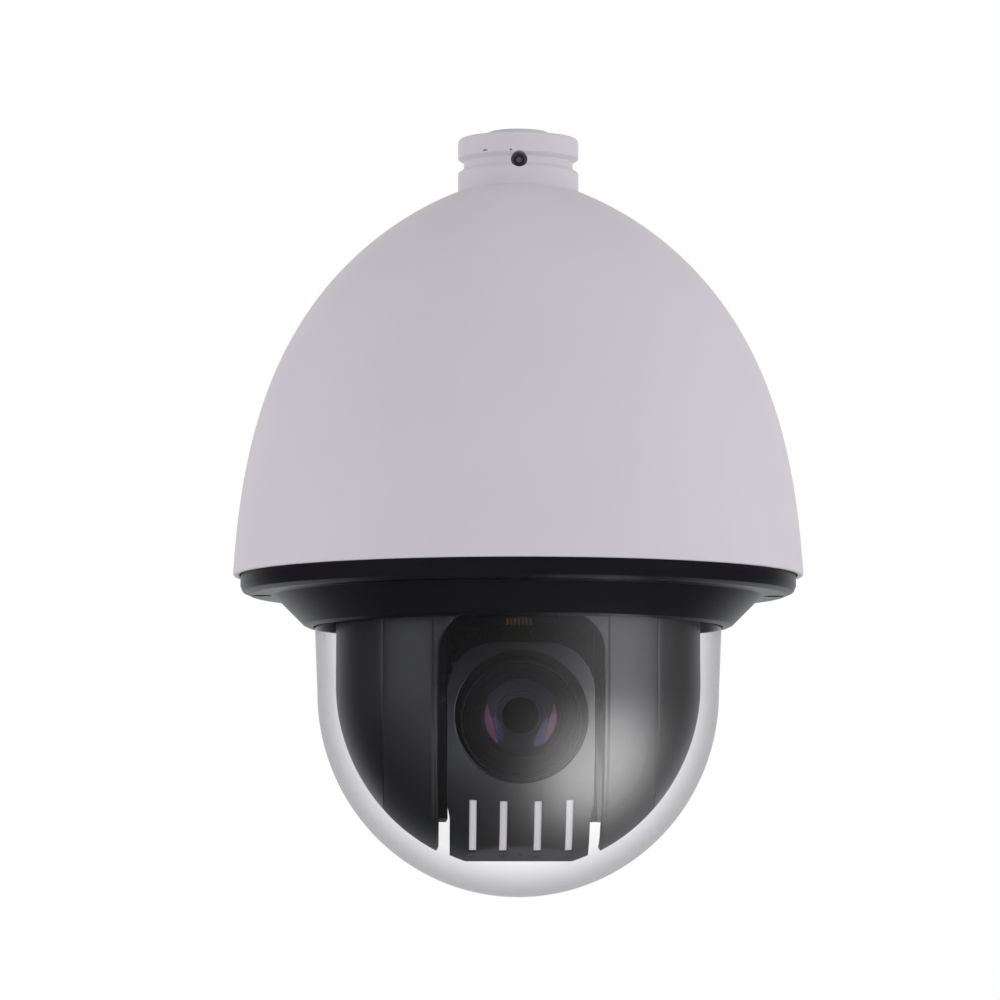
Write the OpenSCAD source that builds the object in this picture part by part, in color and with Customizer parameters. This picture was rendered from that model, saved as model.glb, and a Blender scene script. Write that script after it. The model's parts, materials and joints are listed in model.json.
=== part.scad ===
// Pendant speed-dome PTZ camera.
// The origin is on the pan axis at the top face of the mounting neck. +Z is up, the lens faces -Y.
// At rest the camera block looks a little below the horizon.

/* [Overall] */
// Largest radius of the sun shield's outline curve
shield_a = 112; // [110:0.5:113]
// Height of the sun shield's outline curve
shield_h = 244.8; // [243:0.2:246]
// Wall of the sun shield
shield_wall = 2.5; // [2:0.1:3]
// Gap between the sun shield's outer face and the inner housing's outer face
housing_inset = 11; // [10.5:0.1:11.5]
// Wall of the inner housing
housing_wall = 3; // [2.5:0.1:3.2]

/* [Neck] */
// Radius of the neck
neck_r = 23.5; // [23:0.1:24]
// Height of the neck above the sun shield
neck_h = 20.6; // [20:0.1:21]
// Radius of the cable bore
cable_bore_r = 8; // [6:0.5:9]

/* [Dome] */
// Outer radius of the dome cover at its equator
dome_r = 77.8; // [77.4:0.1:78]
// Height of the dome cover's lower half-ellipsoid
dome_h = 79; // [78:0.5:80]
// Wall of the dome cover
dome_wall = 2.8; // [2:0.1:3]

/* [Camera module] */
// Outer radius of the pan covers
ball_r = 70.8; // [70:0.1:71.2]
// Height of the pan covers' lower half-ellipsoid
ball_h = 73.1; // [72:0.1:74]
// Radius of the tilting front cover
block_r = 69.8; // [69:0.1:70]
// Half width of the tilting block
block_half = 27.8; // [27.4:0.1:28.4]
// Half width of the window that the block moves in
window_half = 31.7; // [31:0.1:32]
// Angle below the horizon that the lens looks at when at rest
rest_tilt = 12.5; // [8:0.5:16]

/* [Lens] */
// Radius of the front glass
glass_r = 15; // [14:0.5:16]
// Outer radius of the lens barrel
barrel_r = 22; // [22:0.2:23]

/* [Hidden] */
$fn = 96;
eps = 0.01;
// Levels along Z
shield_z0 = -260;
seat_z = -171;
crown_z = -33;
chassis_z = -132;
turntable_z = -156;
tilt_z = -215.6;
dome_z = -216.2;
ball_z = -212;
// Lower edge of the inner walls and of the rear cover beside the window
ball_foot_z = -265.5;
window_top_z = -188.4;
// Exponents of the shield's outline, a superellipse
shield_kr = 2 / 1.54;
shield_kz = 2 / 3.92;
shield_top_a = 17.6;
shield_lip_a = 82.1;
shield_steps = 20;
shield_hole_r = 20.1;
// Dome ring
ring_r = 107.7;
ring_screw_r = 99.4;
rim_screw_r = 102.8;
ring_lip_r = 79.4;
ring_lip_z = -191;
dome_seat_z = -186;
clamp_screw_r = 87;
// Bench of the pan drive
hub_r = 18;
pulley_r = 40;
small_pulley_r = 6;
pan_motor_x = -60;
belt_gap = 0.35;
belt_t = 1.4;
pan_belt_z = -147;
fan_y = 56;
// Tilt drive, in the left cheek
tilt_pulley_r = 17;
tilt_small_r = 5;
tilt_motor_y = 8;
tilt_motor_z = -178;
tilt_belt_x = -43.5;
shaft_r = 4;
left_arm_x = -50;
right_arm_x = 40;
arm_t = 3;
bearing_r = 8;
// Tilting block, in its own frame, where the lens looks along -Y
cover_t = 2;
cover_split_y = -24.2;
block_top = 29.6;
// Half width of the cover below the slots, where it swings through the rear cover's notch
foot_half = 26.6;
facet_angle = 25;
facet_d = 66.6;
slot_xs = [-18, -6.4, 6.7, 18.8];
slot_w = 2.8;
slot_top = -31.4;
slot_foot = -55.6;
vent_angle = 35;
lens_hole_r = 25;
lens_hole_rise = 2;
bezel_r = 22.7;
bore_r = 20;

// ---- outlines, each as [radius, height] ----

function shield_p(a) = [
    shield_a * pow(sin(a), shield_kr),
    shield_z0 + shield_h * pow(cos(a), shield_kz)
];
function shield_t(a) = [
    shield_a * shield_kr * pow(sin(a), shield_kr - 1) * cos(a),
    -shield_h * shield_kz * pow(cos(a), shield_kz - 1) * sin(a)
];
// A point of the shield's outline moved inward by d, square to the outline
function shield_in(a, d) = shield_p(a) + d * [shield_t(a).y, -shield_t(a).x] / norm(shield_t(a));
function shield_angle(i) = shield_top_a + (shield_lip_a - shield_top_a) * i / shield_steps;

// Half-ellipsoid under a wall that widens a little towards its top
function bowl(r, h, z0, draft, top) = concat(
    [[r + draft * (top - z0), top]],
    [for (i = [0:16]) [r * cos(i * 90 / 16), z0 - h * sin(i * 90 / 16)]]
);
module bowl_solid(r, h, z0, draft, top)
    rotate_extrude() polygon(concat([[0, top]], bowl(r, h, z0, draft, top)));

module ring(outer, inner, z0, z1)
    translate([0, 0, z0]) difference() {
        cylinder(r = outer, h = z1 - z0);
        translate([0, 0, -1]) cylinder(r = inner, h = z1 - z0 + 2);
    }

module around(count, radius, start = 0)
    for (i = [0:count - 1]) rotate(start + i * 360 / count) translate([radius, 0, 0]) children();

// Screw with a socket head: the head's underside is at z = 0 and the shank runs down
module screw(r, length, head_r, head_h)
    difference() {
        union() {
            cylinder(r = head_r, h = head_h);
            translate([0, 0, -length]) cylinder(r = r, h = length + eps);
        }
        translate([0, 0, head_h * 0.45]) cylinder(r = r * 0.7, h = head_h, $fn = 6);
    }

module block_frame() translate([0, 0, tilt_z]) rotate([rest_tilt, 0, 0]) children();
// Cylinder along the lens axis, from y0 forward to y1
module lens_cyl(r, y0, y1) translate([0, y0, 0]) rotate([90, 0, 0]) cylinder(r = r, h = y0 - y1);
// Cylinder along X
module x_cyl(r, x0, x1) translate([x0, 0, 0]) rotate([0, 90, 0]) cylinder(r = r, h = x1 - x0);

// ---- mount and weather shell ----

module neck_adapter() color("gainsboro") difference() {
    rotate_extrude() polygon([
        [0, 0], [neck_r - 1.2, 0], [neck_r, -1.2], [neck_r, -7.8], [21.28, -9.2],
        [21.28, -11.9], [neck_r, -13.5], [neck_r, -neck_h], [20, -neck_h], [20, crown_z],
        [0, crown_z]
    ]);
    translate([0, 0, -40]) cylinder(r = 12.3, h = 50);
    around(3, 0, 30) rotate([0, 90, 0]) translate([10.6, 0, 10]) cylinder(r = 2.6, h = 20);
    around(3, 20.2, 30) translate([0, 0, -10.6]) rotate([0, 90, 0]) cylinder(r = 3.25, h = 10);
    around(4, 16.2, 45) translate([0, 0, -43]) cylinder(r = 1.5, h = 18);
}

module cable_grommet() color("gainsboro") rotate_extrude() polygon([
    [cable_bore_r, -36], [12.25, -36], [12.25, 1.2], [11.6, 2.4], [10.6, 2.8], [cable_bore_r, 2.8]
]);

module neck_set_screws() color("slategray")
    around(3, 0, 30) translate([0, 0, -10.6]) rotate([0, 90, 0]) translate([0, 0, 13.2])
        difference() {
            cylinder(r = 2.55, h = 6.6);
            translate([0, 0, 4.6]) cylinder(r = 1.3, h = 4, $fn = 6);
        }

module sun_shield() color("gainsboro") {
    rotate_extrude() polygon(concat(
        [[shield_hole_r, -neck_h], [neck_r, -neck_h]],
        [for (i = [0:shield_steps]) shield_p(shield_angle(i))],
        [for (i = [shield_steps:-1:0]) shield_in(shield_angle(i), shield_wall)],
        [[shield_hole_r, shield_in(shield_top_a, shield_wall).y]]
    ));
    // Bosses for the screws at the rim
    around(4, rim_screw_r, 45) difference() {
        union() {
            translate([0, 0, -164.95]) cylinder(r = 3, h = 13);
            translate([0, -1.25, -164.95]) cube([6, 2.5, 13]);
        }
        translate([0, 0, -166]) cylinder(r = 1.2, h = 11);
    }
}

module neck_screws() color("silver")
    around(4, 16.2, 45) translate([0, 0, crown_z - 4.05]) mirror([0, 0, 1])
        screw(1.45, 11.5, 2.9, 2.4);

module inner_housing() color("darkgray") {
    inner_d = housing_inset + housing_wall;
    difference() {
        rotate_extrude() polygon(concat(
            [[13, crown_z], [30, crown_z]],
            [for (i = [3:shield_steps - 1]) shield_in(shield_angle(i), housing_inset)],
            [[shield_in(shield_lip_a, housing_inset).x, -165], [105.2, -165], [105.2, seat_z],
             [93.5, seat_z], [93.5, -166]],
            [for (i = [shield_steps - 1:-1:3]) shield_in(shield_angle(i), inner_d)],
            [[28, crown_z - 4], [13, crown_z - 4]]
        ));
        around(4, 16.2, 45) translate([0, 0, crown_z - 6]) cylinder(r = 1.7, h = 10);
        around(4, rim_screw_r, 45) translate([0, 0, -172]) cylinder(r = 1.7, h = 10);
        around(4, ring_screw_r) translate([0, 0, -172]) cylinder(r = 1.65, h = 5.5);
        ring(96.7, 94.9, -175, -169.5);
    }
    // Bosses that carry the chassis plate
    around(4, 82, 45) difference() {
        union() {
            translate([0, 0, chassis_z + 3]) cylinder(r = 4, h = 16);
            translate([0, -2, chassis_z + 3]) cube([9.5, 4, 16]);
        }
        translate([0, 0, chassis_z]) cylinder(r = 1.5, h = 14);
    }
}

module shield_screws() color("silver")
    around(4, rim_screw_r, 45) translate([0, 0, seat_z]) mirror([0, 0, 1])
        screw(1.15, 13, 2.2, 1.6);

module housing_gasket() color("dimgray")
    rotate_extrude() translate([95.8, -170.25]) circle(r = 0.74, $fn = 24);

// ---- dome ring and dome ----

module dome_ring() color([0.09, 0.09, 0.1]) difference() {
    rotate_extrude() polygon(concat(
        [[105.4, -168], [107.2, -168], [ring_r, -168.5], [ring_r, -175.5]],
        [for (a = [20:20:80]) [104.2 + 3.4 * cos(a), -175.3 - 3.3 * sin(a)]],
        [[103.8, -178.6], [94.7, -178.6], [83, -190.3], [81, ring_lip_z],
         [ring_lip_r, ring_lip_z], [ring_lip_r, dome_seat_z], [85.5, dome_seat_z],
         [85.5, -181.5], [89, -181.5], [89, -176], [93.5, -176], [93.5, seat_z],
         [105.4, seat_z]]
    ));
    around(4, ring_screw_r) translate([0, 0, -180]) cylinder(r = 3.8, h = 3.9);
    around(4, ring_screw_r) translate([0, 0, -180]) cylinder(r = 2.1, h = 12);
    around(4, rim_screw_r, 45) translate([0, 0, -174]) cylinder(r = 2.4, h = 4);
    around(6, clamp_screw_r, 30) translate([0, 0, -184]) cylinder(r = 0.95, h = 4);
}

module ring_screws() color("dimgray")
    around(4, ring_screw_r) translate([0, 0, -176.1]) mirror([0, 0, 1]) screw(1.6, 9, 3.5, 2.1);

module dome_seal() color("dimgray") ring(85, 80, -183, -181.5);

module dome_cover() color([0.85, 0.9, 0.95, 0.35]) {
    difference() {
        bowl_solid(dome_r, dome_h, dome_z, 0.04, dome_seat_z + 3);
        bowl_solid(dome_r - dome_wall, dome_h - dome_wall, dome_z, 0.04, dome_seat_z + 4);
    }
    ring(85.3, 78.9, dome_seat_z, dome_seat_z + 3);
}

module dome_clamp_ring() color("silver") difference() {
    ring(88.7, 80, -181.5, -179.2);
    around(6, clamp_screw_r, 30) translate([0, 0, -185]) cylinder(r = 1.1, h = 10);
}

module dome_clamp_screws() color("silver")
    around(6, clamp_screw_r, 30) translate([0, 0, -179.2]) screw(0.9, 4.5, 1.6, 1.2);

// ---- chassis and electronics ----

module chassis_plate() color("lightgray") difference() {
    union() {
        translate([0, 0, chassis_z]) cylinder(r = 87, h = 3);
        translate([0, 0, chassis_z]) cylinder(r = 31, h = 15);
    }
    translate([0, 0, chassis_z - 1]) cylinder(r = 22, h = 20);
    translate([0, 0, chassis_z + 3]) cylinder(r = 27.06, h = 20);
    translate([pan_motor_x, 0, chassis_z - 1]) cylinder(r = 9, h = 5);
    translate([0, fan_y, chassis_z - 1]) cylinder(r = 18.5, h = 5);
    around(4, 82, 45) translate([0, 0, chassis_z - 1]) cylinder(r = 1.8, h = 5);
}

module chassis_screws() color("silver")
    around(4, 82, 45) translate([0, 0, chassis_z]) mirror([0, 0, 1]) screw(1.45, 10, 2.8, 2.2);

module slip_ring_stator() color("dimgray") {
    translate([0, 0, -117]) cylinder(r = 30, h = 3);
    translate([0, 0, -127]) cylinder(r = 11, h = 28);
}

module pan_bearing_outer() color("silver") difference() {
    ring(27, 24, -129, -121);
    rotate_extrude() translate([22.5, -125]) circle(r = 2.3, $fn = 32);
}

module pan_bearing_balls() color("silver")
    around(16, 22.5) translate([0, 0, -125]) sphere(r = 1.9, $fn = 32);

module pan_motor() color("gray") translate([pan_motor_x, 0, 0]) {
    intersection() {
        translate([-17.5, -17.5, chassis_z + 3]) cube([35, 35, 26]);
        translate([0, 0, chassis_z]) cylinder(r = 22.5, h = 30);
    }
    translate([0, 0, chassis_z + 1]) cylinder(r = 8.9, h = 3);
    translate([0, 0, -150.5]) cylinder(r = 2.4, h = 20);
}

module pan_belt() color([0.1, 0.1, 0.1])
    translate([0, 0, pan_belt_z]) linear_extrude(6) difference() {
        hull() {
            circle(r = pulley_r + belt_gap + belt_t);
            translate([pan_motor_x, 0]) circle(r = small_pulley_r + belt_gap + belt_t);
        }
        hull() {
            circle(r = pulley_r + belt_gap);
            translate([pan_motor_x, 0]) circle(r = small_pulley_r + belt_gap);
        }
    }

module chip(x, y, z, w, d, h) translate([x - w / 2, y - d / 2, z - eps]) cube([w, d, h]);

module main_board() color("darkgreen") {
    difference() {
        translate([0, 0, -98]) cylinder(r = 66, h = 1.6);
        translate([0, 0, -99]) cylinder(r = 13, h = 4);
        around(4, 60, 45) translate([0, 0, -99]) cylinder(r = 1.7, h = 4);
    }
    chip(-30, 15, -96.4, 18, 18, 2);
    chip(28, 18, -96.4, 14, 14, 1.6);
    chip(24, -24, -96.4, 10, 12, 1.4);
    chip(-24, -28, -96.4, 12, 8, 9);
    chip(0, 30, -96.4, 22, 6, 8);
    for (x = [-34, 34]) translate([x, -3, -96.4 - eps]) cylinder(r = 4, h = 9);
}

module power_board() color("darkgreen") {
    difference() {
        translate([0, 0, -78]) cylinder(r = 50, h = 1.6);
        translate([0, 0, -79]) cylinder(r = 12, h = 4);
        around(4, 44, 0) translate([0, 0, -79]) cylinder(r = 1.7, h = 4);
    }
    chip(-22, 20, -76.4, 18, 16, 12);
    chip(24, 20, -76.4, 12, 14, 12);
    for (x = [-26, -12, 26]) translate([x, -24, -76.4 - eps]) cylinder(r = 5, h = 11);
    chip(8, -32, -76.4, 14, 8, 9);
}

module board_standoffs() color("goldenrod") {
    around(4, 60, 45) translate([0, 0, chassis_z + 3]) cylinder(r = 3, h = 31, $fn = 6);
    around(4, 60, 45) translate([0, 0, -98.05]) cylinder(r = 1.6, h = 5);
    around(4, 44, 0) translate([0, 0, -96.4]) cylinder(r = 3, h = 18.4, $fn = 6);
    around(4, 44, 0) translate([0, 0, -78.05]) cylinder(r = 1.6, h = 5);
}

module heat_sink() color("lightgray") difference() {
    union() {
        ring(34, 13, -64.4, -61.4);
        for (i = [-4:4]) if (abs(i) > 1)
            translate([i * 7 - 0.9, -18, -61.45]) cube([1.8, 36, 12]);
    }
    translate([0, 0, -70]) cylinder(r = 13, h = 40);
}

module heater() color("dimgray") {
    translate([-14, fan_y - 6, -110]) cube([28, 12, 3]);
    for (i = [0:6]) translate([-13.5 + i * 4.2, fan_y - 6, -115.05]) cube([1.6, 12, 5.1]);
    for (s = [-1, 1]) translate([s * 17 - 3.05, fan_y - 3, -119]) cube([6.1, 6, 12]);
}

module fan_frame() color([0.12, 0.12, 0.12]) translate([0, fan_y, chassis_z + 3]) {
    difference() {
        translate([-20, -20, 0]) cube([40, 40, 10]);
        translate([0, 0, -1]) cylinder(r = 18.5, h = 12);
        for (x = [-16, 16], y = [-16, 16]) translate([x, y, -1]) cylinder(r = 1.7, h = 12);
    }
    translate([0, 0, 8]) cylinder(r = 7, h = 2);
    for (a = [0:90:270]) rotate(a) translate([6.5, -1, 8]) cube([12.5, 2, 2]);
}

module fan_impeller() color([0.2, 0.2, 0.2]) translate([0, fan_y, chassis_z + 4]) {
    cylinder(r = 7, h = 6);
    for (i = [0:6]) rotate(i * 360 / 7) translate([6.5, -0.5, 0.5]) rotate([28, 0, 0])
        cube([11, 1, 5]);
}

// ---- pan drive ----

module pan_motor_pulley() color("silver") translate([pan_motor_x, 0, 0]) difference() {
    union() {
        translate([0, 0, pan_belt_z - 0.6]) cylinder(r = small_pulley_r, h = 7.2);
        translate([0, 0, pan_belt_z - 1.6]) cylinder(r = 8, h = 1.1);
        translate([0, 0, pan_belt_z + 6.5]) cylinder(r = 8, h = 1.1);
    }
    translate([0, 0, -160]) cylinder(r = 2.45, h = 30);
}

module pan_hub() color("lightgray") ring(hub_r, 12.6, -152, -118);

module pan_bearing_inner() color("silver") difference() {
    ring(21, hub_r + 0.02, -128.7, -121);
    rotate_extrude() translate([22.5, -125]) circle(r = 2.3, $fn = 32);
}

module pan_pulley() color("silver") difference() {
    union() {
        ring(pulley_r, hub_r + 0.02, pan_belt_z - 0.6, pan_belt_z + 6.6);
        ring(pulley_r + 2.2, hub_r + 0.02, pan_belt_z - 1.6, pan_belt_z - 0.5);
    }
    around(6, 29) translate([0, 0, -160]) cylinder(r = 6.5, h = 30);
}

module turntable() color([0.2, 0.2, 0.22]) difference() {
    translate([0, 0, turntable_z]) cylinder(r = 71.2, h = 4);
    translate([0, 0, turntable_z - 1]) cylinder(r = 12.6, h = 6);
    around(6, 32, 30) translate([0, 0, turntable_z - 1]) cylinder(r = 7, h = 6);
}

module slip_ring_rotor() color("goldenrod") {
    translate([0, 0, -150]) cylinder(r = 9, h = 22.6);
    ring(12.5, 8.9, -152, -149);
}

module yoke_arm_left() color([0.25, 0.25, 0.27]) difference() {
    union() {
        translate([left_arm_x, -20, -212]) cube([arm_t, 40, 56]);
        translate([0, 0, tilt_z]) x_cyl(16, left_arm_x, left_arm_x + arm_t);
        translate([left_arm_x, -20, turntable_z - 2.5]) cube([13, 40, 2.5]);
    }
    translate([0, 0, tilt_z]) x_cyl(bearing_r, left_arm_x - 1, left_arm_x + arm_t + 1);
    translate([0, tilt_motor_y, tilt_motor_z]) x_cyl(4.5, left_arm_x - 1, left_arm_x + arm_t + 1);
}

module yoke_arm_right() color([0.25, 0.25, 0.27]) difference() {
    union() {
        translate([right_arm_x, -20, -212]) cube([arm_t, 40, 56]);
        translate([0, 0, tilt_z]) x_cyl(16, right_arm_x, right_arm_x + arm_t);
        translate([right_arm_x, -20, turntable_z - 2.5]) cube([13, 40, 2.5]);
    }
    translate([0, 0, tilt_z]) x_cyl(bearing_r, right_arm_x - 1, right_arm_x + arm_t + 1);
}

// ---- covers of the pan body ----

// Solid of the ball, d inside its outer face
module ball(d = 0) bowl_solid(ball_r - d, ball_h - d, ball_z, 0.015, turntable_z + (d > 0 ? 1 : 0));

module ball_shell() difference() {
    ball();
    ball(cover_t);
}

// Window outline across the block, open downward, with rounded upper corners
module window_prism(half, top, corner, y0, y1)
    translate([0, y1, 0]) rotate([90, 0, 0]) linear_extrude(y1 - y0) union() {
        translate([-half, -300]) square([2 * half, 300 + top - corner]);
        translate([-half + corner, -300]) square([2 * (half - corner), 300 + top]);
        for (s = [-1, 1]) translate([s * (half - corner), top - corner]) circle(r = corner);
    }

// Shell with its two inner walls beside the window, on one side of the shaft axis
module half_cover(side) intersection() {
    union() {
        ball_shell();
        intersection() {
            ball(1);
            for (s = [-1, 1]) translate([s * (window_half + 1) - 1, -80, ball_foot_z]) cube([2, 160, -ball_foot_z + turntable_z]);
        }
    }
    translate([-52, side > 0 ? 0.1 : -80.1, -300]) cube([104, 80, 144]);
}

module shaft_hole(x0, x1) translate([0, 0, tilt_z]) x_cyl(9, x0, x1);

module pan_cover_front() color([0.12, 0.12, 0.13]) difference() {
    half_cover(-1);
    window_prism(window_half - eps, window_top_z, 15.5, -80, -40);
    translate([-window_half + eps, -41, -300]) cube([2 * window_half - 2 * eps, 42, 143]);
    shaft_hole(-60, 60);
}

module pan_cover_rear() color([0.12, 0.12, 0.13]) difference() {
    half_cover(1);
    translate([-window_half + eps, -1, -300]) cube([2 * window_half - 2 * eps, 40, 143]);
    window_prism(foot_half + 0.6, -231, 10, 30, 80);
    translate([-36, -1, -300]) cube([72, 90, 300 + ball_foot_z]);
    shaft_hole(-60, 60);
}

module pan_cover_side(s) color([0.12, 0.12, 0.13]) intersection() {
    ball_shell();
    translate([s > 0 ? 52.15 : -92.15, -80, -300]) cube([40, 160, 144]);
}
module pan_cover_left() pan_cover_side(-1);
module pan_cover_right() pan_cover_side(1);

// ---- tilt drive ----

module tilt_bearings() color("silver") translate([0, 0, tilt_z]) {
    for (x = [left_arm_x - 0.5, right_arm_x - 0.5]) translate([x, 0, 0]) rotate([0, 90, 0])
        ring(bearing_r - 0.02, shaft_r + 0.03, 0, 4);
}

module tilt_motor() color("gray") translate([0, tilt_motor_y, tilt_motor_z]) {
    x_cyl(11, left_arm_x - 14, left_arm_x);
    x_cyl(4.4, left_arm_x - 0.1, left_arm_x + arm_t);
    x_cyl(1.5, left_arm_x, -36.5);
}

module tilt_belt() color([0.1, 0.1, 0.1])
    translate([tilt_belt_x, 0, 0]) rotate([90, 0, 90]) linear_extrude(4) difference() {
        hull() {
            translate([0, tilt_z]) circle(r = tilt_pulley_r + belt_gap + belt_t);
            translate([tilt_motor_y, tilt_motor_z]) circle(r = tilt_small_r + belt_gap + belt_t);
        }
        hull() {
            translate([0, tilt_z]) circle(r = tilt_pulley_r + belt_gap);
            translate([tilt_motor_y, tilt_motor_z]) circle(r = tilt_small_r + belt_gap);
        }
    }

module tilt_board() color("darkgreen") {
    translate([46, -22, -200]) cube([1.6, 44, 34]);
    for (y = [-12, 10]) translate([47.55, y, -190]) cube([2, 8, 8]);
    translate([47.55, -6, -176]) cube([5, 14, 6]);
    for (y = [-17, 17], z = [-196, -170]) translate([0, y, z]) x_cyl(1.8, 43, 46.05);
}

module tilt_motor_pulley() color("silver") translate([0, tilt_motor_y, tilt_motor_z])
    difference() {
        union() {
            x_cyl(tilt_small_r, tilt_belt_x - 0.5, tilt_belt_x + 4.5);
            x_cyl(tilt_small_r + 2, tilt_belt_x + 4.4, tilt_belt_x + 5.3);
        }
        x_cyl(1.55, -60, -30);
    }

// ---- tilting block ----

module tilt_bracket() color("silver") block_frame() difference() {
    union() {
        for (x = [-25.6, 23.8]) translate([x, -16, -25.8]) cube([1.8, 32, 40]);
        translate([-25.6, -16, -25.8]) cube([51.2, 32, 1.8]);
    }
    x_cyl(shaft_r + 0.02, -30, 30);
    for (x = [-14, 14]) translate([x, 0, -30]) cylinder(r = 1.7, h = 8);
}

module tilt_shafts() color("silver") translate([0, 0, tilt_z]) {
    x_cyl(shaft_r, -50.3, -24);
    x_cyl(shaft_r, 24, 43.6);
}

module tilt_pulley() color("silver") translate([0, 0, tilt_z]) difference() {
    union() {
        x_cyl(tilt_pulley_r, tilt_belt_x - 0.5, tilt_belt_x + 4.5);
        x_cyl(tilt_pulley_r + 2, tilt_belt_x + 4.4, tilt_belt_x + 5.3);
    }
    x_cyl(shaft_r + 0.02, -60, -30);
    for (a = [0:60:300]) rotate([a, 0, 0]) translate([0, 10.5, 0]) x_cyl(3.6, -60, -30);
}

module facet_half_space(d)
    rotate([-facet_angle, 0, 0]) translate([-60, -60, -160 - d]) cube([120, 120, 160]);

module tilt_cover_front() color([0.13, 0.13, 0.14]) block_frame() difference() {
    intersection() {
        sphere(r = block_r);
        window_prism(block_half, block_top, 19, -80, cover_split_y);
    }
    intersection() {
        difference() {
            sphere(r = block_r - cover_t);
            facet_half_space(facet_d - cover_t);
        }
        translate([-24.8, -80, -90]) cube([49.6, 90, 90 + block_top + 5]);
    }
    facet_half_space(facet_d);
    for (s = [0, 1]) mirror([s, 0, 0]) rotate([90, 0, 0]) linear_extrude(90)
        polygon([[block_half, -34], [foot_half, -40], [foot_half, -70], [30, -70], [30, -34]]);
    translate([0, 0, lens_hole_rise]) lens_cyl(lens_hole_r, -50, -90);
    for (x = slot_xs) translate([x - slot_w / 2, -80, slot_foot])
        cube([slot_w, 48, slot_top - slot_foot]);
    for (x = concat(slot_xs, [0.4])) rotate([-facet_angle, 0, 0])
        translate([x, x == 0.4 ? -6.2 : -2.9, -90]) cylinder(r = 0.8, h = 40);
}

module tilt_cover_rear() color([0.13, 0.13, 0.14]) block_frame() difference() {
    rear_half = 29;
    rear_y = 44;
    intersection() {
        translate([-block_half, cover_split_y + 0.1, -rear_half])
            cube([2 * block_half, rear_y - cover_split_y, 2 * rear_half]);
        x_cyl(51.5, -40, 40);
    }
    intersection() {
        translate([-block_half + cover_t, -60, -rear_half + cover_t])
            cube([2 * (block_half - cover_t), 60 + rear_y - cover_t, 2 * (rear_half - cover_t)]);
        x_cyl(49.5, -40, 40);
    }
    translate([-16, -60, 20]) cube([32, 75, 20]);
    x_cyl(shaft_r + 0.4, -40, 40);
    for (z = [-12:4:12]) translate([-14, rear_y - 6, z - 0.8]) cube([28, 12, 1.6]);
}

module vent_plate() color("silver") block_frame()
    rotate([vent_angle, 0, 0]) translate([-20.7, -58.7, -27]) cube([41.4, 1.2, 34.7]);

// ---- camera and zoom lens ----

module camera_body() color([0.1, 0.1, 0.11]) block_frame() difference() {
    union() {
        translate([-23.5, -18, -24]) cube([47, 57, 48]);
        for (x = [-15, -5, 5, 15]) translate([x - 0.8, -18, 23.95]) cube([1.6, 30, 2.4]);
    }
    translate([-21.5, -16, -22]) cube([43, 53, 44]);
    lens_cyl(bore_r, 0, -30);
}

module contact_strip() color("gold") block_frame() {
    translate([-7, -9.5, 26.35]) cube([14, 4.5, 1.4]);
    for (i = [0:6]) translate([-4.95 + i * 1.5, -9.9, 27.7]) cube([0.9, 0.7, 2.6]);
}

module sensor_board() color("darkgreen") block_frame() {
    translate([-20, 34, -20]) cube([40, 1.6, 40]);
    translate([-7, 32.45, -6]) cube([14, 1.6, 12]);
    for (x = [-17, 17], z = [-17, 17]) translate([x, 37, z]) rotate([90, 0, 0])
        cylinder(r = 1.8, h = 1.45);
}

module lens_barrel() color([0.08, 0.08, 0.09]) block_frame() difference() {
    lens_cyl(barrel_r, -18.05, -62.6);
    lens_cyl(bore_r, 0, -56);
    lens_cyl(glass_r + 0.05, -50, -60);
    translate([0, -59, 0]) rotate([90, 0, 0]) cylinder(r1 = glass_r + 0.6, r2 = 21.1, h = 3.7);
}

module lens_bezel() color([0.08, 0.08, 0.09]) block_frame() difference() {
    lens_cyl(bezel_r, -56, -64.4);
    lens_cyl(barrel_r + 0.04, -50, -66);
    translate([0, -62.6, 0]) rotate([90, 0, 0])
        cylinder(r1 = barrel_r + 0.04, r2 = 22.35, h = 1.85);
}

module front_lens() color([0.5, 0.55, 0.65, 0.4]) block_frame() translate([0, -56, 0])
    rotate([90, 0, 0]) rotate_extrude() polygon(concat(
        [[0, 0], [glass_r, 0]],
        [for (i = [8:-1:0]) [glass_r * i / 8, 3.4 - 40 + sqrt(1600 - pow(glass_r * i / 8, 2))]]
    ));

// Carrier ring with its glass, which slides along the lens axis
module lens_group(y, clear_r, glass_h) block_frame() {
    difference() {
        lens_cyl(bore_r - 0.4, y, y - 5);
        lens_cyl(clear_r, y + 1, y - 6);
    }
    translate([0, y - 2.5, 0]) intersection() {
        lens_cyl(clear_r + 0.5, glass_h, -glass_h);
        translate([0, 30 - glass_h, 0]) sphere(r = 30);
        translate([0, glass_h - 30, 0]) sphere(r = 30);
    }
}
module zoom_lens_group() color([0.3, 0.32, 0.4]) lens_group(-42, 9.4, 2);
module focus_lens_group() color([0.3, 0.32, 0.4]) lens_group(-24, 7.1, 1.6);

module ir_cut_filter() color("steelblue") block_frame() translate([-7, 27, -7]) difference() {
    cube([26, 1.4, 14]);
    for (x = [7, 19], y = [0.4, 3]) translate([x, y, 7]) rotate([90, 0, 0])
        cylinder(r = 5, h = y > 1 ? 2 : 1);
}

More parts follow.
